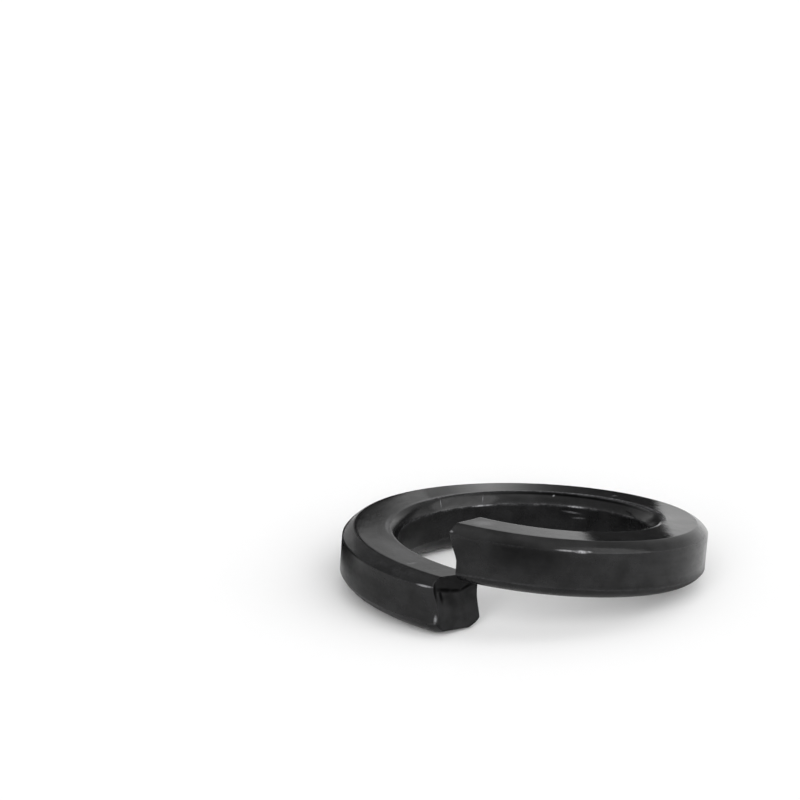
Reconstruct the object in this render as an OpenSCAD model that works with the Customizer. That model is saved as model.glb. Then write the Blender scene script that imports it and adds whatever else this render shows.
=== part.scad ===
// Spring lock washer for a 16 mm screw.
// It is one split turn of square wire with a sheared end on each side of its gap.
// The coil is left-handed, so seen from above it climbs clockwise from its low end to its high end.
// It lies as it comes to rest on a flat floor: on the inner tip of the low end and on its far outer edge.
// All lengths are in millimetres and all angles in degrees.

/* [Ring] */
// Diameter of the hole
bore_d = 16.4; // [15.8:0.1:17.2]
// Radial width of the square wire
wire_w = 3.65; // [3.2:0.05:4.2]
// Height of the square wire from its lower flat to its upper flat
wire_h = 3.6; // [3.2:0.05:4.2]
// Rise of the coil over one whole turn
coil_rise = 3.67; // [3:0.01:5]

/* [Worn shoulders] */
// Radial width of the two outer shoulders
outer_shoulder_w = 0.75; // [0.4:0.05:1.1]
// Height of the two outer shoulders
outer_shoulder_h = 0.65; // [0.4:0.05:1]
// Radial width of the two inner shoulders
inner_shoulder_w = 0.5; // [0.3:0.05:0.9]
// Height of the two inner shoulders
inner_shoulder_h = 0.8; // [0.4:0.05:1]
// How far each shoulder swells out of a straight bevel
shoulder_bulge = 0.07; // [0:0.01:0.12]

/* [Sheared ends] */
// Width of the gap, measured round the outside diameter
gap_w = 1; // [0.8:0.1:2]
// How far each end's biting edge stands ahead of its other edge at the outside
outside_bite = 0.58; // [0.2:0.02:1]
// How far each end's biting edge stands ahead of its other edge at the bore
bore_bite = 0.34; // [0.2:0.02:1]
// Turn of the low end's cut away from the radial direction
low_skew = 18.5; // [8:0.5:24]
// Turn of the high end's cut away from the radial direction
high_skew = 11; // [4:0.5:20]
// Height at which the cut steps forward at the bore, as a share of the wire's height
bore_step_at = 0.36; // [0.2:0.02:0.8]
// Height at which the cut steps forward at the outside, as a share of the wire's height
outside_step_at = 0.68; // [0.2:0.02:0.8]
// How far the shear rolled up the lower edge of the low end
low_roll = 0.22; // [0:0.02:0.4]
// Length of coil over which that edge is rolled up
low_roll_reach = 0.9; // [0.5:0.1:1.6]

/* [Lie] */
// Direction of the low end in plan, counted from the right-hand side
low_end_at = -115.5; // [-180:0.5:180]

/* [Fineness] */
// Steps along the coil
coil_steps = 120; // [72:12:144]
// Finer steps inside the first step at each end
end_steps = 4; // [2:1:6]
// Steps across each shoulder
shoulder_steps = 3; // [2:1:4]

/* [Hidden] */
// Steps up each wall
wall_steps = 6;

// Sides of the trimming cylinders where they are drawn as facets
fine = 180;

// How far both walls stand proud before they are trimmed true
spare = 0.06;

// Share of the wire's height over which the step in each cut runs its course
step_width = 0.64;

bore_r = bore_d / 2;
outer_r = bore_r + wire_w;

// Points on one side of the section, shared shoulder corners counted once
side_points = 2 * (shoulder_steps + 1) + wall_steps - 1;

// The trimming cylinders run past the coil at both ends
run_past = 2;
tall = coil_rise + wire_h + 2 * run_past;

// The middle of the ring stands over the origin
middle = [0, 0, (coil_rise + wire_h) / 2];

// The gap as an angle round the ring
gap_angle = gap_w / outer_r * 180 / PI;

// The floor touches the low end's inner tip and is tangent to the lower outer edge on the far side
tip_r = bore_r + inner_shoulder_w;
rim_r = outer_r - outer_shoulder_w;

// The rolled edge is clear of the floor up to where the coil comes down at this slope
floor_slope = coil_rise / (2 * PI) * (1 / tip_r + 1 / rim_r);
tip_behind = low_roll_reach * max(0, 1 - floor_slope * low_roll_reach / (2 * low_roll));
tip_at = low_angle(tip_r, 0) + tip_behind / tip_r * 180 / PI;
tip = on_ring(tip_r, tip_at, rolled_up(tip_behind, 0));

// The gap takes a little weight away, so the far touching point lies a little past the half turn
past_half_turn = 2.4;
far_at = tip_at + 180 + past_half_turn;
far_point = on_ring(rim_r, far_at, 0);
far_run = [-sin(far_at), -cos(far_at), coil_rise / (2 * PI * rim_r)];

// The floor's upward direction as the ring sees it, and the lean that brings it upright
floor_up = cross(far_point - tip, far_run);
up = floor_up / norm(floor_up) * sign(floor_up[2]);
tilt = acos(up[2]);

// Height of the ring's middle over the floor
lift = up * (middle - tip);

steel = [0.17, 0.17, 0.18];

// A point between two points
function between(a, b, u) = a + (b - a) * u;

// A worn shoulder from its flat to its wall, swollen towards the side given by out
function shoulder(a, b, out) =
    let(
        run = b - a,
        swell = [run[1], -run[0]] / norm(run) * out * shoulder_bulge
    )
    [
        for (i = [0 : shoulder_steps])
            between(a, b, i / shoulder_steps) + swell * sin(180 * i / shoulder_steps)
    ];

// The upright wall between two shoulders, without its ends
function wall(a, b) = [for (i = [1 : wall_steps - 1]) between(a, b, i / wall_steps)];

// A list in the opposite order
function backwards(v) = [for (i = [len(v) - 1 : -1 : 0]) v[i]];

// One side of the section from the lower flat up to the upper flat
function side(edge_r, wall_r, up_h, out) =
    let(
        low_flat = [edge_r, 0],
        low_wall = [wall_r, up_h],
        high_wall = [wall_r, wire_h - up_h],
        high_flat = [edge_r, wire_h]
    )
    concat(
        shoulder(low_flat, low_wall, out),
        wall(low_wall, high_wall),
        backwards(shoulder(high_flat, high_wall, -out))
    );

// Both walls stand a little proud here, and true cylinders trim them to size
outer_side = side(
    outer_r - outer_shoulder_w,
    outer_r + spare,
    outer_shoulder_h * (1 + spare / outer_shoulder_w),
    1
);
inner_side = side(
    bore_r + inner_shoulder_w,
    bore_r - spare,
    inner_shoulder_h * (1 + spare / inner_shoulder_w),
    -1
);
section = concat(outer_side, backwards(inner_side));
points_round = len(section);

// A smooth step from 0 to 1 that has run its course half a width either side of its middle
function smooth_step(x, middle_at, width) =
    let(t = max(0, min(1, (x - middle_at) / width + 0.5)))
    t * t * (3 - 2 * t);

// Where the stepped and skewed shear cut stands, as a length round the ring
function cut_shift(r, z, skew) =
    let(
        share = (r - bore_r) / wire_w,
        step_at = between(bore_step_at, outside_step_at, share),
        step = smooth_step(z / wire_h, step_at, step_width) - 0.5
    )
    between(bore_bite, outside_bite, share) * step - tan(skew) * (outer_r - r);

// Angle round the coil at which the low end is cut, for a point of the section
function low_angle(r, z) = cut_shift(r, z, low_skew) / r * 180 / PI;

// Angle round the coil at which the high end is cut, for a point of the section
function high_angle(r, z) =
    360 - gap_angle + cut_shift(r, z, high_skew) / r * 180 / PI;

// How far the rolled lower edge of the low end lifts a point, from its length of coil behind the cut
function rolled_up(behind, z) =
    let(
        near_cut = max(0, 1 - behind / low_roll_reach),
        near_flat = 1 - z / wire_h
    )
    low_roll * near_cut * near_cut * near_flat * near_flat;

// A point of the left-handed coil: at radius r and angle a, at a height z above the wire's lower flat
function on_ring(r, a, z) = [r * cos(a), -r * sin(a), z + coil_rise * a / 360];

// A point of the section carried along the coil: t is 0 at the low end and 1 at the high end
function on_coil(p, t) =
    let(
        start_at = low_angle(p[0], p[1]),
        a = between(start_at, high_angle(p[0], p[1]), t),
        behind = (a - start_at) * PI / 180 * p[0]
    )
    on_ring(p[0], a, p[1] + rolled_up(behind, p[1]));

// Stations along the coil from 0 to 1, closer together near both ends
stations = concat(
    [for (i = [0 : end_steps - 1]) i / end_steps],
    [for (i = [1 : coil_steps - 1]) i],
    [for (i = [1 : end_steps]) coil_steps - 1 + i / end_steps]
) / coil_steps;
last_station = len(stations) - 1;

coil_points = [for (t = stations, p = section) on_coil(p, t)];

// The skin between two neighbouring stations of the coil
skin = [
    for (i = [0 : last_station - 1], k = [0 : points_round - 1])
        let(
            a = i * points_round + k,
            b = i * points_round + (k + 1) % points_round
        )
        each [[a, b + points_round, b], [a, a + points_round, b + points_round]]
];

// A cut face: strips laid across the section from its bore side to its outer side
function cut_face(first, flip) = [
    for (k = [0 : side_points - 2])
        let(
            a = first + k,
            b = first + k + 1,
            c = first + points_round - 1 - k,
            d = first + points_round - 2 - k
        )
        each flip ? [[a, b, d], [a, d, c]] : [[a, d, b], [a, c, d]]
];

// The wire as it was coiled, before its walls are trimmed true
module coiled_wire() {
    polyhedron(
        points = coil_points,
        faces = concat(skin, cut_face(0, true), cut_face(last_station * points_round, false)),
        convexity = 6
    );
}

// The ring about its own axis: true outside wall, true bore, helical flats, worn shoulders and sheared ends
module ring() {
    difference() {
        intersection() {
            coiled_wire();
            translate([0, 0, -run_past])
                cylinder(h = tall, r = outer_r, $fn = fine);
        }
        translate([0, 0, -run_past])
            cylinder(h = tall, r = bore_r, $fn = fine);
    }
}

// The ring turned to its direction in plan and leaned over into its resting pose
module washer() {
    color(steel)
        rotate([0, 0, low_end_at])
            translate([0, 0, lift])
                rotate(a = tilt, v = cross(up, [0, 0, 1]))
                    translate(-middle)
                        ring();
}

washer();
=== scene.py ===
import math

import bpy
import numpy as np
from mathutils import Matrix, Vector, noise


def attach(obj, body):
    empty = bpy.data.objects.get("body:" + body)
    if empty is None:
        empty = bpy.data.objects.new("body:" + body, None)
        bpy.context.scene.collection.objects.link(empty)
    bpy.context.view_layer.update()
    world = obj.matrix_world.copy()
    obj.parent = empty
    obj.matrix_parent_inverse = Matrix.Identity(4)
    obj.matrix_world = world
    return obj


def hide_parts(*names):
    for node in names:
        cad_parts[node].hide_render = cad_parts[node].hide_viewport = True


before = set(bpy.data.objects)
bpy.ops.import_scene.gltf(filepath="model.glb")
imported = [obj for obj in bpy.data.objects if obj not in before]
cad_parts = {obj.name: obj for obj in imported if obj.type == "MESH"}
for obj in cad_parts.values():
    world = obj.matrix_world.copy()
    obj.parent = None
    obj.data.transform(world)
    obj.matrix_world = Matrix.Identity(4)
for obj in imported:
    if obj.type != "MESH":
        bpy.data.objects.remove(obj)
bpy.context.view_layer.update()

# A spring lock washer: one split turn of square wire, black oxide over spring steel
# All lengths are in metres, and MM turns a size in millimetres into metres
MM = 0.001

# The ring, as the part's own source has it
BORE_R = 8.2 * MM
WIRE_W = 3.65 * MM
WIRE_H = 3.6 * MM
COIL_RISE = 3.67 * MM
OUTER_R = BORE_R + WIRE_W
MEAN_R = BORE_R + WIRE_W / 2

# The worn shoulders between the flats and the walls
OUTER_SHOULDER_W = 0.75 * MM
OUTER_SHOULDER_H = 0.65 * MM
INNER_SHOULDER_W = 0.5 * MM
INNER_SHOULDER_H = 0.8 * MM
SHOULDER_BULGE = 0.07 * MM

# The sheared ends
GAP_W = 1.0 * MM
OUTSIDE_BITE = 0.58 * MM
BORE_BITE = 0.34 * MM
LOW_SKEW = math.radians(18.5)
HIGH_SKEW = math.radians(11)
BORE_STEP_AT = 0.36
OUTSIDE_STEP_AT = 0.68
STEP_WIDTH = 0.64
LOW_ROLL = 0.22 * MM
LOW_ROLL_REACH = 0.9 * MM

# The lie on the floor
LOW_END_AT = math.radians(-115.5)
PAST_HALF_TURN = math.radians(2.4)

# Rounding of the worn creases and of the sheared edges
CREASE_SOFT = 0.07 * MM
CUT_EDGE_R = 0.05 * MM

# A second, shallow bevel inside the upper flat, widest on the far right
LIP_W = 0.3 * MM
LIP_LEAST = 0.06 * MM
LIP_SLOPE = 0.3
LIP_MIDDLE = 41 * MM
LIP_REACH = 15 * MM

# How much the upper outer shoulder's height wavers over the turn, and where it is tallest
SHOULDER_WAVER = 0.08 * MM
TALLEST_AT = 16 * MM

# Extra wear at the two tips: its reach along the coil, and what it adds to each shoulder's width or height
LOW_TIP_REACH = 1.6 * MM
LOW_TIP_INNER_W = 0.4 * MM
LOW_TIP_INNER_H = -0.2 * MM
LOW_TIP_TOP_H = -0.08 * MM
HIGH_TIP_REACH = 2.0 * MM
HIGH_TIP_TOP_W = -0.05 * MM
HIGH_TIP_TOP_H = -0.08 * MM
HIGH_TIP_FOOT_H = -0.12 * MM

# Unevenness of the mesh, as its depth and the size of its features: the rolled skin and the torn faces
WAVE_DEPTH, WAVE_SIZE = 0.005 * MM, 2.4 * MM
SKIN_DEPTH, SKIN_SIZE = 0.0012 * MM, 0.5 * MM
TEAR_DEPTH, TEAR_SIZE = 0.016 * MM, 0.45 * MM
NOISE_SHIFT = Vector((17.3, 5.1, 9.7))

# Each sheared face is set back below a ledge that dips in its middle, and is burnished smooth above it
# The set back part fades out towards the rim, over one part in so many of the face
LEDGE_DEPTH = 0.05 * MM
LEDGE_Z = 2.6 * MM
LEDGE_SAG = 0.06
LEDGE_SOFT = 0.14 * MM
BURNISHED_ROUGH = 0.15
RIM_FADE = 12

# Burrs at each end stand out past its cut, and reach so far back along the coil
# Each one's middle and half length round the section, and how far it stands out, all in millimetres
BURR_REACH = 0.45 * MM
LOW_BURRS = [(3.8, 0.5, 0.06), (5.7, 0.3, 0.05)]
HIGH_BURRS = [(5.1, 1.1, 0.14), (5.8, 0.35, 0.06), (8.7, 0.5, 0.05)]

# Fineness of the mesh
STATION_STEP = 0.12 * MM
STEP_GROWTH = 1.3
EDGE_STEPS = 4
FLAT_STEPS = 24
LIP_STEPS = 6
SHOULDER_STEPS = 9
WALL_STEPS = 18
SIDE_STEPS = 2 * SHOULDER_STEPS + WALL_STEPS
OUTLINE_SAMPLES = 1000
NORMAL_STEP = 0.02 * MM

# The photograph's frame and camera, found from the washer's own edges
FRAME_PX = 800
FOCAL_PX = 2737.74
SENSOR_W = 36.0
CAMERA_AT = Vector((6.082, -170.525, 57.344)) * MM
CAMERA_YAW = math.radians(4.682)
CAMERA_PITCH = math.radians(-14.671)
CAMERA_ROLL = math.radians(-1.214)
CAMERA_CLIP = 10 * MM

# The studio's brightness by the sine of the height over the horizon
SKY = [
    (0.0, 1.0), (0.1, 0.92), (0.2, 0.74), (0.35, 0.54), (0.6, 0.38), (0.8, 0.42), (0.92, 0.65), (1.0, 1.15),
]

# Its level at the back left, its rise to the right and to the front, and the span over which each rise comes
SKY_BACK_LEFT = 0.64
SKY_RIGHT_RISE, SKY_RIGHT_SPAN = 0.4, (-0.1, 0.35)
SKY_FRONT_RISE, SKY_FRONT_SPAN = 0.48, (-0.6, 0.0)

FLOOR_WHITE = (0.92, 0.92, 0.92, 1)
FLOOR_REACH = 2000 * MM

# Two broad lamps: each one's light, its breadth in degrees, the direction it stands in
# and whether the gloss shows its gleam
LAMPS = {
    "right_softbox": (0.75, 60, (0.77, -0.28, 0.57), True),
    "front_softbox": (5.0, 60, (0.05, -0.96, 0.27), False),
}

# Curved black and grey cards stand upright behind the washer, seen only in its gloss
# Each one's inner and outer radius in millimetres, and its brightness at angles round it in degrees
CARD_MIDDLE = Vector((-1.4, 15, 14)) * MM
CARD_STEPS = 24
CURVED_CARDS = {
    "right_card": (8.3, 14.2, [(-54, 0.01), (0, 0.01)]),
    "low_card": (8.6, 14, [
        (-126, 0.15), (-117, 0.17), (-109, 0.28), (-100, 0.38), (-91, 0.27), (-82, 0.13), (-73, 0.05),
        (-64, 0.02), (-54, 0.012),
    ]),
    "left_card": (10.8, 14, [(-182, 0.01), (-126, 0.01)]),
}

# Flat cards stand upright to the left, black below and grey above
# Each one's brightness, then in millimetres the two places it runs between, and its lower and upper edge
FLAT_CARDS = {
    "side_card": (0.35, (-13.5, 9), (-18, 2), 3.6, 8),
    "side_card_foot": (0.01, (-12.4, 9.5), (-18.5, 1), 0, 3.6),
}

# The black skin's colour, what clouds, worn places and painted highlights add to it, and what painted shade
# takes from it
TINT = (1.0, 1.0, 1.04)
OXIDE_BASE = 0.003
OXIDE_CLOUD = 0.005
OXIDE_WEAR_AND_HIGHLIGHT = 0.2
RUB_HIGHLIGHT_SHARE = 0.5
SHADE_AND_NICK_SHARE = 0.9

# Its roughness, and what adds to that
OXIDE_ROUGH = 0.07
CLOUD_ROUGH = 0.04
PATCH_ROUGH = 0.04
MOTTLE_ROUGH = 0.03
SHADE_AND_NICK_ROUGH = 0.25

# A stretch with less sheen than this is rougher, by so much for each whole step of sheen
SMOOTH_SHEEN = 0.75
SHEEN_ROUGH = 0.25

# Its gloss, and what adds to that or takes away from it, with two of them on the flats only
OXIDE_IOR = 1.41
OXIDE_GLOSS = 1.1
PATCH_GLOSS = -0.22
LINE_GLOSS = -0.08
MOTTLE_GLOSS = -0.12
FLAT_MOTTLE_GLOSS = -0.14
FLAT_GLOSS = 0.34
SCRATCH_GLOSS = -0.24
# Gloss added where the skin is worn or carries a painted highlight
WEAR_HIGHLIGHT_GLOSS = 0.5

# The sheared faces: their colour and gloss, and how much of both is left above the ledge, a painted shade on
# the burnished band
# The burnished span is in millimetres up the face
SHEARED_BASE = 0.005
SHEARED_CLOUD = 0.006
SHEARED_ROUGH = 0.25
SHEARED_TORN_ROUGH = 0.15
SHEARED_CLOUD_ROUGH = 0.15
SHEARED_GLOSS = 0.17
SHEARED_CLOUD_GLOSS = 0.15
BURNISHED_SHADE_LEVEL = 0.6
BURNISHED_SPAN = (2.5, 2.8)
# Share of painted shade along the low cut's listed lines
CUT_SHADE_SHARE = 0.85

# Noises in space: how many features to a metre each way, how much detail, and a seed
OXIDE_CLOUDS = ((700, 700, 700), 4, 1)
OXIDE_MOTTLE = ((2600, 2600, 2600), 3, 9)
OXIDE_GRAIN = ((6000, 6000, 6000), 3, 2)
OXIDE_SPECKS = ((4200, 4200, 4200), 1, 8)
SHEARED_CLOUDS = ((900, 900, 900), 4, 5)
SHEARED_GRAIN = ((8000, 8000, 8000), 3, 6)

# The same to a millimetre along the coil and round it, or outwards and upwards on a sheared face
DRAWING_LINES = ((0.22, 9, 1), 3, 3)
OXIDE_PATCHES = ((0.7, 1.6, 1), 4, 4)
FINE_SCRATCHES = ((1.1, 11, 1), 3, 11)
SHEARED_LINES = ((8, 0.5, 1), 3, 7)

# How a noise breaks up the wear and painted highlights: the range of it that counts, and what is left at each
# end of that range
RUB_HIGHLIGHT_IN_GRAIN = (0.2, 0.8, 0.4, 1)
RUB_HIGHLIGHT_IN_PATCHES = (0.3, 0.7, 0.25, 1)
HIGHLIGHT_BREAKUP_IN_GRAIN = (0.1, 0.7, 0.5, 1)
BRIGHT_SPECKS = (0.84, 0.98, 0, 0.05)
BRIGHT_STREAKS = (0.55, 1.0, 0, 0.08)

# Relief of the finish
GRAIN_DEPTH = 0.0013 * MM
LINE_DEPTH = 0.0012 * MM
MARK_RELIEF_DEPTH = -0.003 * MM
SHADE_AND_NICK_DEPTH = -0.006 * MM
SHEARED_GRAIN_DEPTH = 0.003 * MM
SHEARED_LINE_DEPTH = 0.0015 * MM
CUT_LINE_DEPTH = 0.02 * MM

# The range that a noise node mostly fills, and the share of a mark that is at full strength
NOISE_SPAN = (0.28, 0.72)
MARK_CORE = 0.2

# How strongly each stretch of the section shines, from the lower flat round: least underneath and in the
# bore, as painted shade
SHINE_AND_SHADE = (0.35, 0.14, 0.34, 0.64, 1.0, 0.9, 0.74, 0.22, 0.26)

# Each crease of the section: how bright it is rubbed, part real wear and part painted highlight, or a painted
# dark line of shade and dark reflection
# A dark line has a strength, then in millimetres where along the coil it is deepest and how far it reaches
CREASE_W = 0.075 * MM
CREASE_RUB_AND_HIGHLIGHT = (0.1, 0.1, 0.1, 0.05, 0.0, 0.8, 0.2, 0.4, 0.1)
PAINTED_CREASE_SHADE = {
    3: (1.0, 8.0, 7.0),
    4: (1.0, 14.0, 22.0),
    5: (0.8, 42.5, 8.0),
    6: (1.0, 31.0, 20.0),
}

# Marks on the coil, most of them painted highlights and painted shade: place along and around it, length and
# width in millimetres, slant in degrees, strength
# Both lists together hold 35 marks at most: with more of them the renderer shows the whole material black
# Mostly painted highlights and glints on creases, burrs and flats; a few are real scratches and specks
PAINTED_HIGHLIGHTS_AND_SCRATCHES = [
    (0.5, 5.69, 1.3, 0.2, 0, 0.7),
    (15.4, 6.15, 1.6, 0.5, 0, 0.25),
    (56.2, 5.76, 1.5, 0.18, 0, 0.6),
    (55.4, 5.74, 1.0, 0.3, 0, 0.9),
    (55.0, 5.76, 0.6, 0.18, 0, 0.6),
    (33.9, 8.09, 0.3, 0.7, 0, 1.0),
    (30.0, 9.35, 0.25, 0.22, 0, 0.7),
    (20.4, 9.5, 0.8, 0.1, 90, 0.5),
    (24.3, 9.55, 0.7, 0.1, 90, 0.4),
    (24.3, 10.02, 2.6, 0.16, 0, 0.8),
    (32.2, 10.0, 2.0, 0.2, 0, 1.0),
    (31.9, 10.4, 2.2, 0.2, 3, 0.3),
    (32.6, 10.75, 1.6, 0.18, -3, 0.22),
    (33.0, 8.95, 26.0, 0.4, 0, 0.18),
    (39.0, 9.0, 12.0, 0.5, 0, 0.12),
    (21.0, 8.8, 12.0, 0.3, 0, 0.35),
    (11.5, 8.75, 6.0, 0.4, 0, 0.3),
    (5.5, 8.2, 8.0, 2.0, 0, 0.14),
    (61.4, 7.8, 1.6, 1.8, 20, 0.35),
    (62.36, 5.85, 0.3, 0.24, 0, 0.8),
    (2.9, 7.4, 1.3, 0.3, 75, 0.45),
    (0.1, 3.7, 0.24, 0.8, 0, 0.5),
]
# Mostly painted shade and dark reflections along creases; the two short ones last are a real dark spot and a
# nick
PAINTED_SHADE_AND_NICKS = [
    (15.0, 6.69, 24.0, 0.24, 0, 0.95),
    (8.0, 5.69, 9.0, 0.3, 0, 1.0),
    (32.0, 9.22, 26.0, 0.42, 0, 1.0),
    (37.5, 8.95, 8.0, 0.16, 0, 0.5),
    (42.5, 6.85, 0.5, 0.3, 0, 0.8),
    (38.7, 8.16, 0.3, 0.2, 0, 0.6),
]

# Broad areas of painted shade, darker, less glossy and rougher, then areas of painted light: place along and
# around the coil and reach along and around it, then strength
SHADE_AREAS = [
    (45.5, 2.9, 14.0, 1.1, 0.9),
    (8.0, 2.9, 10.0, 0.8, 0.7),
    (7.0, 4.4, 6.0, 2.2, 0.6),
    (13.0, 7.9, 7.5, 2.2, 0.75),
    (14.0, 10.6, 8.0, 2.0, 0.7),
    (58.5, 5.2, 4.0, 2.0, 0.6),
]
PAINTED_LIGHT_AREAS = [(4.0, 6.2, 5.0, 0.9, 0.1)]

# Painted shade on the low cut, as marks laid outwards and upwards: a dark line along the ledge and one down
# the outer edge
LOW_CUT_PAINTED_SHADE = [
    (2.6, 2.72, 2.2, 0.46, 10, 1.0),
    (1.75, 2.6, 1.8, 0.42, 5, 1.0),
    (0.95, 2.72, 1.7, 0.38, -24, 1.0),
    (3.0, 2.4, 1.3, 0.42, 90, 1.0),
    (3.5, 2.7, 1.8, 0.5, 90, 0.8),
]


def between(a, b, u):
    """A value or point between two others."""
    return a + (b - a) * u


def smooth_step(x, middle, width):
    """A smooth step from 0 to 1 that has run its course half a width either side of its middle."""
    t = np.clip((x - middle) / width + 0.5, 0, 1)
    return t * t * (3 - 2 * t)


def ramp_down(x, reach):
    """1 at 0, falling smoothly to 0 at the reach on either side."""
    return np.clip(1 - np.abs(x) / reach, 0, 1) ** 2


def bell(x, middle, reach):
    """A smooth hump that is 1 at its middle and 0 beyond its reach."""
    return np.cos(np.clip((x - middle) / reach, -1, 1) * math.pi / 2) ** 2


# Where the coil lies

def cut_shift(r, z, skew):
    """Where the stepped and skewed shear cut stands, as a length round the ring."""
    share = (r - BORE_R) / WIRE_W
    step_at = between(BORE_STEP_AT, OUTSIDE_STEP_AT, share)
    step = smooth_step(z / WIRE_H, step_at, STEP_WIDTH) - 0.5
    return between(BORE_BITE, OUTSIDE_BITE, share) * step - math.tan(skew) * (OUTER_R - r)


def low_angle(r, z):
    """Angle round the coil at which the low end is cut."""
    return cut_shift(r, z, LOW_SKEW) / r


def high_angle(r, z):
    """Angle round the coil at which the high end is cut."""
    return 2 * math.pi - GAP_W / OUTER_R + cut_shift(r, z, HIGH_SKEW) / r


COIL_LENGTH = MEAN_R * (high_angle(MEAN_R, WIRE_H / 2) - low_angle(MEAN_R, WIRE_H / 2))


def rolled_up(behind, z):
    """How far the shear rolled up the low end's lower edge, behind its cut."""
    near_cut = np.clip(1 - behind / LOW_ROLL_REACH, 0, 1)
    near_flat = 1 - z / WIRE_H
    return LOW_ROLL * near_cut ** 2 * near_flat ** 2


def on_ring(r, a, z):
    """A point of the left-handed coil, at a height z over the wire's lower flat."""
    return np.stack([r * np.cos(a), -r * np.sin(a), z + COIL_RISE * a / (2 * math.pi)], -1)


def on_coil(points, along, ahead=0.0):
    """Where section points lie on the ring, along metres behind the low cut at the middle of the wire."""
    r, z = points[..., 0], points[..., 1]
    start = low_angle(r, z)
    a = between(start, high_angle(r, z), along / COIL_LENGTH) + ahead / r
    return on_ring(r, a, z + rolled_up((a - start) * r, z))


def resting_pose():
    """The turn and shift that lay the ring on its low end's inner tip and its far outer edge."""
    tip_r = BORE_R + INNER_SHOULDER_W
    rim_r = OUTER_R - OUTER_SHOULDER_W
    slope = COIL_RISE / (2 * math.pi) * (1 / tip_r + 1 / rim_r)
    behind = LOW_ROLL_REACH * max(0, 1 - slope * LOW_ROLL_REACH / (2 * LOW_ROLL))
    tip_at = low_angle(tip_r, 0.0) + behind / tip_r
    tip = on_ring(tip_r, tip_at, rolled_up(behind, 0.0))
    far_at = tip_at + math.pi + PAST_HALF_TURN
    far = on_ring(rim_r, far_at, 0.0)
    run = np.array([-math.sin(far_at), -math.cos(far_at), COIL_RISE / (2 * math.pi * rim_r)])
    up = np.cross(far - tip, run)
    up *= np.sign(up[2]) / np.linalg.norm(up)
    lean = Vector(up).rotation_difference(Vector((0, 0, 1))).to_matrix()
    turn = np.array(Matrix.Rotation(LOW_END_AT, 3, "Z") @ lean)
    middle = np.array([0, 0, (COIL_RISE + WIRE_H) / 2])
    return turn, np.array([0, 0, up @ (middle - tip)]) - turn @ middle


# The wire's section, walked from the lower flat's bore edge out, up, in and down again

def crease_points(along):
    """The nine creases of the section at one place along the coil."""
    low_tip = ramp_down(along, LOW_TIP_REACH)
    high_tip = ramp_down(COIL_LENGTH - along, HIGH_TIP_REACH)
    waver = SHOULDER_WAVER * math.cos((along - TALLEST_AT) / MEAN_R)
    foot_inner_w = INNER_SHOULDER_W + LOW_TIP_INNER_W * low_tip
    foot_inner_h = INNER_SHOULDER_H + LOW_TIP_INNER_H * low_tip
    foot_outer_h = OUTER_SHOULDER_H + HIGH_TIP_FOOT_H * high_tip
    top_outer_w = OUTER_SHOULDER_W + HIGH_TIP_TOP_W * high_tip
    top_outer_h = OUTER_SHOULDER_H + waver + HIGH_TIP_TOP_H * high_tip + LOW_TIP_TOP_H * low_tip
    lip_w = between(LIP_LEAST, LIP_W, bell(along, LIP_MIDDLE, LIP_REACH))
    return np.array([
        (BORE_R + foot_inner_w, 0),
        (OUTER_R - OUTER_SHOULDER_W, 0),
        (OUTER_R, foot_outer_h),
        (OUTER_R, WIRE_H - top_outer_h),
        (OUTER_R - top_outer_w, WIRE_H),
        (BORE_R + INNER_SHOULDER_W + lip_w, WIRE_H),
        (BORE_R + INNER_SHOULDER_W, WIRE_H - LIP_SLOPE * lip_w),
        (BORE_R, WIRE_H - INNER_SHOULDER_H),
        (BORE_R, foot_inner_h),
    ])


# The stretches of the section between its creases, counted from the lower flat, and the points along them
SHOULDERS = (1, 3, 6, 8)
FLATS = (0, 4, 5)
SEGMENT_STEPS = (
    FLAT_STEPS, SHOULDER_STEPS, WALL_STEPS, SHOULDER_STEPS, FLAT_STEPS - LIP_STEPS, LIP_STEPS,
    SHOULDER_STEPS, WALL_STEPS, SHOULDER_STEPS,
)
STOPS = [
    (segment, 0.5 - 0.5 * math.cos(math.pi * i / steps))
    for segment, steps in enumerate(SEGMENT_STEPS) for i in range(steps)
]
AROUND_COUNT = len(STOPS)


def softened(points, half):
    """A closed run of points, each averaged with its neighbours, so that its creases are rounded."""
    offsets = np.arange(-int(half) - 1, int(half) + 2)
    weights = np.clip(1 - np.abs(offsets) / half, 0, None)
    weights /= weights.sum()
    return sum(w * np.roll(points, -k, 0) for w, k in zip(weights, offsets))


def section_ring(along):
    """Points round the section and their outward directions."""
    creases = crease_points(along)
    run = np.roll(creases, -1, 0) - creases
    lengths = np.linalg.norm(run, axis=1)
    starts = np.concatenate([[0], np.cumsum(lengths)])
    total = starts[-1]
    at = (np.arange(OUTLINE_SAMPLES) + 0.5) / OUTLINE_SAMPLES * total
    segment = np.clip(np.searchsorted(starts, at, side="right") - 1, 0, len(creases) - 1)
    u = (at - starts[segment]) / lengths[segment]
    outward = np.stack([run[:, 1], -run[:, 0]], 1) / lengths[:, None]
    bulge = np.where(np.isin(segment, SHOULDERS), SHOULDER_BULGE * np.sin(np.pi * u), 0)
    points = creases[segment] + run[segment] * u[:, None] + outward[segment] * bulge[:, None]
    points = softened(points, CREASE_SOFT / total * OUTLINE_SAMPLES)
    places = np.array([between(starts[s], starts[s + 1], u) for s, u in STOPS])
    at_wrapped = np.concatenate([at - total, at, at + total])
    points_wrapped = np.tile(points, (3, 1))

    def outline(places):
        """Points at these measures round the section."""
        return np.stack([np.interp(places, at_wrapped, points_wrapped[:, k]) for k in range(2)], 1)

    run = outline(places + NORMAL_STEP) - outline(places - NORMAL_STEP)
    normal = np.stack([run[:, 1], -run[:, 0]], 1) / np.linalg.norm(run, axis=1)[:, None]
    return outline(places), normal


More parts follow.
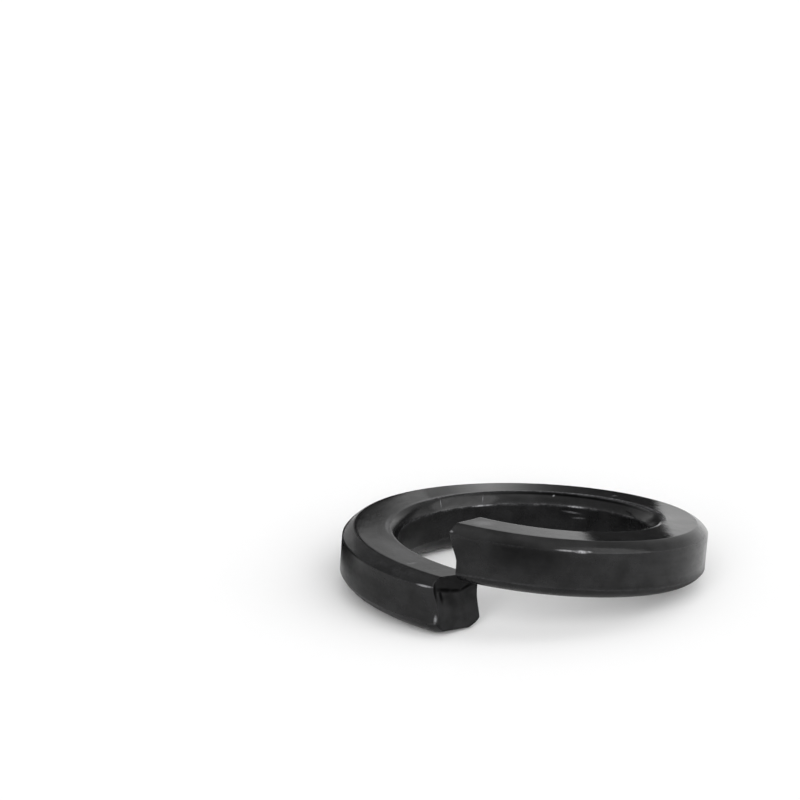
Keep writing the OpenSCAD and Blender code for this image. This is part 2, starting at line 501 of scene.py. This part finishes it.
def crease_places():
    """One measure round the section for every station, so that each crease keeps its number."""
    creases = crease_points(COIL_LENGTH / 2)
    lengths = np.linalg.norm(np.roll(creases, -1, 0) - creases, axis=1)
    return np.concatenate([[0], np.cumsum(lengths)])


CREASE_AT = crease_places()
AROUND = np.array([between(CREASE_AT[s], CREASE_AT[s + 1], u) for s, u in STOPS])


def areas(along, listed):
    """The strongest of several broad soft areas at each point round the section."""
    total = np.zeros(len(AROUND))
    for at, around, length, width, strength in listed:
        area = bell(along, at * MM, length * MM) * bell(AROUND, around * MM, width * MM)
        total = np.maximum(total, area * strength)
    return total


def crease_light_and_shade(along):
    """How much crease rub, part wear and part painted highlight, and how much painted shade each point round
    the section shows.
    """
    away = AROUND[:, None] - CREASE_AT[None, :-1]
    away = np.minimum(np.abs(away), CREASE_AT[-1] - np.abs(away))
    near = np.exp(-(away / CREASE_W) ** 2)
    rub_and_highlight = (near * np.array(CREASE_RUB_AND_HIGHLIGHT)).max(1)
    shade_and_nicks = areas(along, SHADE_AREAS)
    for crease, (strength, deepest, reach) in PAINTED_CREASE_SHADE.items():
        line = near[:, crease] * strength * bell(along, deepest * MM, reach * MM)
        shade_and_nicks = np.maximum(shade_and_nicks, line)
    return np.maximum(rub_and_highlight, areas(along, PAINTED_LIGHT_AREAS)), shade_and_nicks


# The coil as a mesh

def stations():
    """Places along the coil, each with how far its section is drawn in to round the cut edges."""
    quarter = [math.pi / 2 * k / EDGE_STEPS for k in range(EDGE_STEPS + 1)]
    edge = [(CUT_EDGE_R * (1 - math.cos(q)), CUT_EDGE_R * (1 - math.sin(q))) for q in quarter]
    step = CUT_EDGE_R / 2
    while step < STATION_STEP:
        edge.append((edge[-1][0] + step, 0.0))
        step *= STEP_GROWTH
    reach = edge[-1][0]
    count = int((COIL_LENGTH - 2 * reach) / STATION_STEP)
    inner = [(between(reach, COIL_LENGTH - reach, k / count), 0.0) for k in range(1, count)]
    return edge + inner + [(COIL_LENGTH - d, inset) for d, inset in reversed(edge)]


def wander(points, size, octaves, seed):
    """Smooth noise from about -1 to 1 at each point, with features about one size wide."""
    shift = NOISE_SHIFT * seed
    return np.array([noise.fractal(Vector(p) / size + shift, 1.0, 2.0, octaves) for p in points])


def burrs(from_cut, listed):
    """How far the burrs of one end push its skin out past the cut."""
    near = np.clip(1 - from_cut / BURR_REACH, 0, 1) ** 2
    bumps = sum(push * MM * bell(AROUND, at * MM, half * MM) for at, half, push in listed)
    return near * bumps


def skin_points(places):
    """Every point of the coil's skin, station by station."""
    rings = [section_ring(along) for along, inset in places]
    section = np.array([r[0] for r in rings])
    normal = np.array([r[1] for r in rings])
    along, inset = np.array(places).T[:, :, None]
    flat = on_coil(section, along).reshape(-1, 3)
    height = WAVE_DEPTH * wander(flat, WAVE_SIZE, 2, 1) + SKIN_DEPTH * wander(flat, SKIN_SIZE, 3, 2)
    away = height.reshape(section.shape[:2]) - inset
    section = section + normal * away[..., None]
    out = burrs(COIL_LENGTH - along, HIGH_BURRS) - burrs(along, LOW_BURRS)
    return section, on_coil(section, along, out)


def cut_inside(outline):
    """The points inside a cut face, row by row, blended from the four sides of its outline."""
    bottom = outline[:FLAT_STEPS + 1]
    outer = outline[FLAT_STEPS:FLAT_STEPS + SIDE_STEPS + 1]
    top = outline[FLAT_STEPS + SIDE_STEPS:2 * FLAT_STEPS + SIDE_STEPS + 1][::-1]
    inner = np.vstack([outline[2 * FLAT_STEPS + SIDE_STEPS:], outline[:1]])[::-1]
    u = np.linspace(0, 1, FLAT_STEPS + 1)[None, 1:-1, None]
    v = np.linspace(0, 1, SIDE_STEPS + 1)[1:-1, None, None]
    across = between(inner[1:-1, None], outer[1:-1, None], u)
    upright = between(bottom[None, 1:-1], top[None, 1:-1], v)
    corners = between(between(bottom[0], bottom[-1], u), between(top[0], top[-1], u), v)
    inset = np.minimum(np.minimum(u, 1 - u), np.minimum(v, 1 - v))[..., 0]
    return (across + upright - corners).reshape(-1, 2), inset.ravel()


def torn(points, inset, seed):
    """How far a sheared face is set back: burnished above its ledge, torn and uneven below it."""
    r, z = points.T
    share = (r - BORE_R) / WIRE_W
    ledge = LEDGE_Z + LEDGE_SAG * WIRE_H * (2 * share - 1) ** 2
    below = 1 - smooth_step(z, ledge, LEDGE_SOFT)
    rough = wander(np.column_stack([points, np.zeros(len(points))]), TEAR_SIZE, 4, seed)
    inside = np.clip(inset * RIM_FADE, 0, 1)
    return inside * (below * LEDGE_DEPTH + between(BURNISHED_ROUGH, 1.0, below) * rough * TEAR_DEPTH)


def cut_faces(first_ring, first_inside, flip):
    """Four-sided faces over a cut, from its outline's points and its inside points."""
    far_corner = FLAT_STEPS + SIDE_STEPS

    def number(i, k):
        """The number of the point in column i and row k."""
        if k == 0:
            return first_ring + i
        if i == FLAT_STEPS:
            return first_ring + FLAT_STEPS + k
        if k == SIDE_STEPS:
            return first_ring + far_corner + FLAT_STEPS - i
        if i == 0:
            return first_ring + (far_corner + FLAT_STEPS + SIDE_STEPS - k) % AROUND_COUNT
        return first_inside + (k - 1) * (FLAT_STEPS - 1) + i - 1

    faces = []
    for k in range(SIDE_STEPS):
        for i in range(FLAT_STEPS):
            face = (number(i, k), number(i + 1, k), number(i + 1, k + 1), number(i, k + 1))
            faces.append(face[::-1] if flip else face)
    return faces


def skin_faces(count):
    """Four-sided faces round and along the coil's skin."""
    first = np.arange(count - 1)[:, None] * AROUND_COUNT
    here = np.arange(AROUND_COUNT)[None]
    after = (here + 1) % AROUND_COUNT
    faces = [first + here, first + after, first + AROUND_COUNT + after, first + AROUND_COUNT + here]
    return np.stack(faces, -1).reshape(-1, 4)


def skin_uv(places):
    """Each skin face's corners as millimetres along the coil and round its section."""
    along = np.array([a for a, inset in places])
    around = np.append(AROUND, CREASE_AT[-1])
    near, far = along[:-1, None], along[1:, None]
    here, after = around[None, :-1], around[None, 1:]
    corners = [(near, here), (near, after), (far, after), (far, here)]
    pairs = [np.stack(np.broadcast_arrays(u, v), -1) for u, v in corners]
    return np.stack(pairs, 2).reshape(-1, 2) / MM


def build_washer():
    """The whole washer as one closed mesh."""
    places = stations()
    section, skin = skin_points(places)
    insides, inside_sections = [], []
    for ring, (along, inset), seed, sign in ((0, places[0], 3, 1), (-1, places[-1], 4, -1)):
        points, inward = cut_inside(section[ring])
        back = torn(points, inward, seed) * sign
        insides.append(on_coil(points, along, back))
        inside_sections.append(points)
    turn, shift = resting_pose()
    co = np.vstack([skin.reshape(-1, 3), *insides]) @ turn.T + shift
    faces = skin_faces(len(places))
    skin_count = len(places) * AROUND_COUNT
    low = cut_faces(0, skin_count, True)
    high = cut_faces(skin_count - AROUND_COUNT, skin_count + len(insides[0]), False)
    mesh = bpy.data.meshes.new("washer_body")
    mesh.from_pydata(co.tolist(), [], faces.tolist() + low + high)
    mesh.update()
    flat_section = np.vstack([section.reshape(-1, 2), *inside_sections])
    corners = np.array(low + high).ravel()
    cut_uv = (flat_section[corners] - np.array([BORE_R, 0])) / MM
    uv = mesh.uv_layers.new(name="coil")
    uv.data.foreach_set("uv", np.vstack([skin_uv(places), cut_uv]).astype(np.float32).ravel())
    slots = np.repeat([0, 1, 2], [len(faces), len(low), len(high)]).astype(np.int32)
    mesh.polygons.foreach_set("material_index", slots)
    mesh.polygons.foreach_set("use_smooth", np.ones(len(slots), bool))
    # Per point: crease rub with painted highlight, and painted shade
    rub_and_shade = np.array([crease_light_and_shade(along) for along, inset in places])
    add_attribute(mesh, "rub_and_highlight", rub_and_shade[:, 0].ravel())
    add_attribute(mesh, "shade_and_nicks", rub_and_shade[:, 1].ravel())
    add_attribute(mesh, "flat", np.tile(np.isin([s for s, u in STOPS], FLATS), len(places)))
    add_attribute(mesh, "shine_and_shade", np.tile([SHINE_AND_SHADE[s] for s, u in STOPS], len(places)))
    return mesh


def add_attribute(mesh, name, values):
    """A number at each point of the mesh, 0 where none is given."""
    full = np.zeros(len(mesh.vertices), np.float32)
    full[:len(values)] = values
    mesh.attributes.new(name, "FLOAT", "POINT").data.foreach_set("value", full)


# Camera, floor and light

def add_camera():
    """The camera that took the photograph."""
    data = bpy.data.cameras.new("camera")
    data.sensor_width = SENSOR_W
    data.lens = FOCAL_PX / FRAME_PX * SENSOR_W
    data.clip_start = CAMERA_CLIP
    camera = bpy.data.objects.new("camera", data)
    upright = math.pi / 2 + CAMERA_PITCH
    look = Matrix.Rotation(CAMERA_YAW, 4, "Z") @ Matrix.Rotation(upright, 4, "X")
    camera.matrix_world = Matrix.Translation(CAMERA_AT) @ look @ Matrix.Rotation(CAMERA_ROLL, 4, "Z")
    bpy.context.scene.collection.objects.link(camera)
    bpy.context.scene.camera = camera


def add_floor():
    """A plain pale floor that keeps the washer's shadow."""
    corners = [(x * FLOOR_REACH, y * FLOOR_REACH, 0) for x, y in ((-1, -1), (1, -1), (1, 1), (-1, 1))]
    mesh = bpy.data.meshes.new("floor")
    mesh.from_pydata(corners, [], [(0, 1, 2, 3)])
    mesh.materials.append(floor_material())
    floor = bpy.data.objects.new("floor", mesh)
    bpy.context.scene.collection.objects.link(floor)


def add_world():
    """A pale studio, white at the horizon and overhead, dimmest at the back left."""
    world = bpy.data.worlds.new("studio")
    bpy.context.scene.world = world
    world.use_nodes = True
    tree = world.node_tree
    background = tree.nodes["Background"]
    direction = tree.nodes.new("ShaderNodeTexCoord").outputs["Generated"]
    axes = tree.nodes.new("ShaderNodeSeparateXYZ")
    tree.links.new(direction, axes.inputs[0])
    tree.links.new(grey_ramp(tree, axes.outputs["Z"], SKY), background.inputs["Color"])
    right = spread(tree, axes.outputs["X"], *SKY_RIGHT_SPAN, 0, SKY_RIGHT_RISE)
    front = spread(tree, axes.outputs["Y"], *SKY_FRONT_SPAN, SKY_FRONT_RISE, 0)
    tree.links.new(added(tree, SKY_BACK_LEFT, right, front), background.inputs["Strength"])


def add_curved_card(name, inner, outer, levels):
    """A part of a ring upright behind the washer, its brightness running from each angle's to the next."""
    angles, shades = zip(*levels)
    turns = np.linspace(angles[0], angles[-1], CARD_STEPS + 1)
    rim = [Vector((math.cos(t), 0, math.sin(t))) for t in np.radians(turns)]
    corners = [CARD_MIDDLE + d * inner * MM for d in rim] + [CARD_MIDDLE + d * outer * MM for d in rim]
    faces = [(i, i + 1, CARD_STEPS + i + 2, CARD_STEPS + i + 1) for i in range(CARD_STEPS)]
    add_card(name, np.tile(np.interp(turns, angles, shades), 2), corners, faces)


def add_flat_card(name, level, start, end, low, high):
    """An upright card of one brightness between two places on the floor's plan."""
    corners = [Vector((*at, z)) * MM for at, z in ((start, low), (end, low), (end, high), (start, high))]
    add_card(name, np.full(4, level), corners, [(0, 1, 2, 3)])


def add_card(name, shades, corners, faces):
    """A card with a brightness at each corner that only the washer's gloss sees."""
    mesh = bpy.data.meshes.new(name)
    mesh.from_pydata(corners, [], faces)
    material, tree, shader = shader_tree(name)
    add_attribute(mesh, "shade", shades)
    tree.links.new(attribute(tree, "shade"), shader.inputs["Base Color"])
    shader.inputs["Roughness"].default_value = 1.0
    mesh.materials.append(material)
    card = bpy.data.objects.new(name, mesh)
    card.visible_camera = card.visible_diffuse = card.visible_shadow = False
    bpy.context.scene.collection.objects.link(card)


def add_lamp(name, light, breadth, direction, shines):
    """A broad soft lamp that lights the floor evenly, with or without a gleam in the gloss."""
    data = bpy.data.lights.new(name, "SUN")
    data.energy = light
    data.angle = math.radians(breadth)
    lamp = bpy.data.objects.new(name, data)
    lamp.rotation_euler = Vector(direction).to_track_quat("Z", "Y").to_euler()
    lamp.visible_glossy = shines
    bpy.context.scene.collection.objects.link(lamp)


# Small steps that the materials are put together from

def shader_tree(name):
    """A new material with only a Principled shader and its output."""
    material = bpy.data.materials.new(name)
    material.use_nodes = True
    tree = material.node_tree
    return material, tree, tree.nodes["Principled BSDF"]


def put(tree, value, socket):
    """Give a socket a plain number or another node's output."""
    if isinstance(value, bpy.types.NodeSocket):
        tree.links.new(value, socket)
    else:
        socket.default_value = value


def grey_ramp(tree, value, levels):
    """A grey that runs from each place's level to the next."""
    ramp = tree.nodes.new("ShaderNodeValToRGB")
    ramp.color_ramp.interpolation = "LINEAR"
    stops = ramp.color_ramp.elements
    while len(stops) < len(levels):
        stops.new(1.0)
    for stop, (at, level) in zip(stops, levels):
        stop.position, stop.color = at, (level, level, level, 1)
    tree.links.new(value, ramp.inputs[0])
    return ramp.outputs["Color"]


def spread(tree, value, low, high, to_low, to_high):
    """A value carried smoothly from one range to another and held inside it."""
    node = tree.nodes.new("ShaderNodeMapRange")
    node.interpolation_type = "SMOOTHSTEP"
    for socket, given in zip(node.inputs, (value, low, high, to_low, to_high)):
        put(tree, given, socket)
    return node.outputs[0]


def maths(tree, operation, first, second):
    """One step of arithmetic on numbers or other nodes' outputs."""
    node = tree.nodes.new("ShaderNodeMath")
    node.operation = operation
    put(tree, first, node.inputs[0])
    put(tree, second, node.inputs[1])
    return node.outputs[0]


def scaled(tree, value, by):
    """A value times another."""
    return maths(tree, "MULTIPLY", value, by)


def added(tree, *parts):
    """Parts added up, each given plainly or as a value and its weight."""
    parts = [scaled(tree, *part) if isinstance(part, tuple) else part for part in parts]
    total = parts[0]
    for part in parts[1:]:
        total = maths(tree, "ADD", total, part)
    return total


def noise_over(tree, place, fineness, detail, seed):
    """Noise of about 0 to 1 over a place, with so many features to each unit along its axes."""
    mapping = tree.nodes.new("ShaderNodeMapping")
    mapping.inputs["Scale"].default_value = fineness
    mapping.inputs["Location"].default_value = (seed, 2 * seed, 3 * seed)
    tree.links.new(place, mapping.inputs["Vector"])
    node = tree.nodes.new("ShaderNodeTexNoise")
    node.inputs["Scale"].default_value = 1.0
    node.inputs["Detail"].default_value = detail
    tree.links.new(mapping.outputs["Vector"], node.inputs["Vector"])
    return spread(tree, node.outputs[0], *NOISE_SPAN, 0, 1)


def attribute(tree, name):
    """A number that the mesh holds at each point."""
    node = tree.nodes.new("ShaderNodeAttribute")
    node.attribute_name = name
    return node.outputs["Fac"]


def coil_uv(tree):
    """Millimetres along the coil and round its section, or outwards and upwards on a sheared face."""
    node = tree.nodes.new("ShaderNodeUVMap")
    node.uv_map = "coil"
    return node.outputs["UV"]


def bumped(tree, shader, height):
    """Relief from a height in metres."""
    bump = tree.nodes.new("ShaderNodeBump")
    bump.inputs["Strength"].default_value = 1.0
    bump.inputs["Distance"].default_value = 1.0
    put(tree, height, bump.inputs["Height"])
    tree.links.new(bump.outputs["Normal"], shader.inputs["Normal"])


def mark(tree, coil, middle, size, slant):
    """A long soft mark on the coil: 1 in its middle, fading to 0 at its rim."""
    mapping = tree.nodes.new("ShaderNodeMapping")
    mapping.vector_type = "TEXTURE"
    mapping.inputs["Location"].default_value = (*middle, 0)
    mapping.inputs["Rotation"].default_value = (0, 0, math.radians(slant))
    mapping.inputs["Scale"].default_value = (size[0] / 2, size[1] / 2, 1)
    tree.links.new(coil, mapping.inputs["Vector"])
    length = tree.nodes.new("ShaderNodeVectorMath")
    length.operation = "LENGTH"
    tree.links.new(mapping.outputs["Vector"], length.inputs[0])
    return spread(tree, length.outputs["Value"], MARK_CORE, 1.0, 1, 0)


def marks(tree, coil, listed):
    """The strongest of several marks at each place."""
    total = 0.0
    for along, around, length, width, slant, strength in listed:
        one = scaled(tree, mark(tree, coil, (along, around), (length, width), slant), strength)
        total = maths(tree, "MAXIMUM", one, total)
    return total


def grey(tree, value):
    """A near-neutral colour of one brightness, a trace cooler than grey."""
    node = tree.nodes.new("ShaderNodeCombineColor")
    for socket, tint in zip(node.inputs, TINT):
        put(tree, scaled(tree, value, tint), socket)
    return node.outputs[0]


# The materials

def floor_material():
    """Matt white, without gloss."""
    material, tree, shader = shader_tree("floor_white")
    shader.inputs["Base Color"].default_value = FLOOR_WHITE
    shader.inputs["Roughness"].default_value = 1.0
    shader.inputs["Specular IOR Level"].default_value = 0.0
    return material


def oxide_material():
    """Black oxide: a dark skin with drawing lines, cloudy scuffs, scuffed creases and a few marks, with
    painted highlights and painted shade.
    """
    material, tree, shader = shader_tree("black_oxide")
    place = tree.nodes.new("ShaderNodeTexCoord").outputs["Object"]
    coil = coil_uv(tree)
    # The per-stretch gloss is lowest underneath and in the bore, as painted shade
    flat, shine_and_shade = attribute(tree, "flat"), attribute(tree, "shine_and_shade")
    cloud = noise_over(tree, place, *OXIDE_CLOUDS)
    mottle = noise_over(tree, place, *OXIDE_MOTTLE)
    grain = noise_over(tree, place, *OXIDE_GRAIN)
    lines = noise_over(tree, coil, *DRAWING_LINES)
    patches = noise_over(tree, coil, *OXIDE_PATCHES)
    scratches = noise_over(tree, coil, *FINE_SCRATCHES)
    # Crease rub: part real wear, part painted highlight
    breaks = scaled(tree, spread(tree, grain, *RUB_HIGHLIGHT_IN_GRAIN), spread(tree, patches, *RUB_HIGHLIGHT_IN_PATCHES))
    rub_and_highlight = scaled(tree, attribute(tree, "rub_and_highlight"), breaks)
    # Mostly painted highlights and glints, with a few real scratches and specks
    highlights_and_scratches = marks(tree, coil, PAINTED_HIGHLIGHTS_AND_SCRATCHES)
    # Painted shade from the dark marks and the shade attribute, apart from a real nick and a dark spot
    shade_and_nicks = maths(tree, "MAXIMUM", marks(tree, coil, PAINTED_SHADE_AND_NICKS), attribute(tree, "shade_and_nicks"))
    specks = spread(tree, noise_over(tree, place, *OXIDE_SPECKS), *BRIGHT_SPECKS)
    streaks = spread(tree, scratches, *BRIGHT_STREAKS)
    wear_and_highlights = added(
        tree, (rub_and_highlight, RUB_HIGHLIGHT_SHARE), (highlights_and_scratches, spread(tree, grain, *HIGHLIGHT_BREAKUP_IN_GRAIN)),
        (added(tree, specks, streaks), flat),
    )
    shown = maths(tree, "SUBTRACT", 1.0, scaled(tree, shade_and_nicks, SHADE_AND_NICK_SHARE))
    skin = scaled(tree, added(tree, OXIDE_BASE, (cloud, OXIDE_CLOUD)), shown)
    put(tree, grey(tree, added(tree, skin, (wear_and_highlights, OXIDE_WEAR_AND_HIGHLIGHT))), shader.inputs["Base Color"])
    rough = added(
        tree, OXIDE_ROUGH, (cloud, CLOUD_ROUGH), (patches, PATCH_ROUGH), (mottle, MOTTLE_ROUGH),
        (shade_and_nicks, SHADE_AND_NICK_ROUGH), (maths(tree, "SUBTRACT", SMOOTH_SHEEN, shine_and_shade), SHEEN_ROUGH),
    )
    put(tree, rough, shader.inputs["Roughness"])
    shader.inputs["IOR"].default_value = OXIDE_IOR
    gloss = scaled(tree, shine_and_shade, added(
        tree, OXIDE_GLOSS, (patches, PATCH_GLOSS), (lines, LINE_GLOSS),
        (mottle, added(tree, MOTTLE_GLOSS, (flat, FLAT_MOTTLE_GLOSS))),
        (flat, added(tree, FLAT_GLOSS, (scratches, SCRATCH_GLOSS))),
    ))
    gloss = added(tree, (gloss, shown), (wear_and_highlights, WEAR_HIGHLIGHT_GLOSS))
    put(tree, gloss, shader.inputs["Specular IOR Level"])
    bumped(tree, shader, added(
        tree, (grain, GRAIN_DEPTH), (lines, LINE_DEPTH), (highlights_and_scratches, MARK_RELIEF_DEPTH), (shade_and_nicks, SHADE_AND_NICK_DEPTH),
    ))
    return material


def sheared_material(name, shade_lines):
    """A sheared face: burnished above its ledge, with painted shade there, torn and grainy below it, and
    painted shade along any listed lines.
    """
    material, tree, shader = shader_tree(name)
    place = tree.nodes.new("ShaderNodeTexCoord").outputs["Object"]
    coil = coil_uv(tree)
    cloud = noise_over(tree, place, *SHEARED_CLOUDS)
    grain = noise_over(tree, place, *SHEARED_GRAIN)
    lines = noise_over(tree, coil, *SHEARED_LINES)
    # Painted shade along the listed lines darkens colour and gloss
    shown = maths(tree, "SUBTRACT", 1.0, scaled(tree, marks(tree, coil, shade_lines), CUT_SHADE_SHARE))
    axes = tree.nodes.new("ShaderNodeSeparateXYZ")
    tree.links.new(coil, axes.inputs[0])
    # Above the ledge the colour and gloss drop: painted shade on the burnished band
    torn_and_unshaded = spread(tree, axes.outputs["Y"], *BURNISHED_SPAN, 1, BURNISHED_SHADE_LEVEL)
    base = scaled(tree, added(tree, SHEARED_BASE, (cloud, SHEARED_CLOUD)), torn_and_unshaded)
    put(tree, grey(tree, scaled(tree, base, shown)), shader.inputs["Base Color"])
    rough = added(tree, SHEARED_ROUGH, (torn_and_unshaded, SHEARED_TORN_ROUGH), (cloud, SHEARED_CLOUD_ROUGH))
    put(tree, rough, shader.inputs["Roughness"])
    shader.inputs["IOR"].default_value = OXIDE_IOR
    gloss = scaled(tree, added(tree, SHEARED_GLOSS, (cloud, SHEARED_CLOUD_GLOSS)), torn_and_unshaded)
    put(tree, scaled(tree, gloss, shown), shader.inputs["Specular IOR Level"])
    bumped(tree, shader, added(
        tree, (scaled(tree, grain, torn_and_unshaded), SHEARED_GRAIN_DEPTH), (lines, SHEARED_LINE_DEPTH),
        (shown, CUT_LINE_DEPTH),
    ))
    return material


mesh = build_washer()
for material in (
    oxide_material(), sheared_material("sheared_low", LOW_CUT_PAINTED_SHADE), sheared_material("sheared_high", []),
):
    mesh.materials.append(material)
washer = bpy.data.objects.new("washer_body", mesh)
bpy.context.scene.collection.objects.link(washer)
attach(washer, "root")
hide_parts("washer")

add_camera()
add_floor()
add_world()
for name, card in CURVED_CARDS.items():
    add_curved_card(name, *card)
for name, card in FLAT_CARDS.items():
    add_flat_card(name, *card)
for name, lamp in LAMPS.items():
    add_lamp(name, *lamp)
bpy.context.scene.view_settings.view_transform = "Standard"
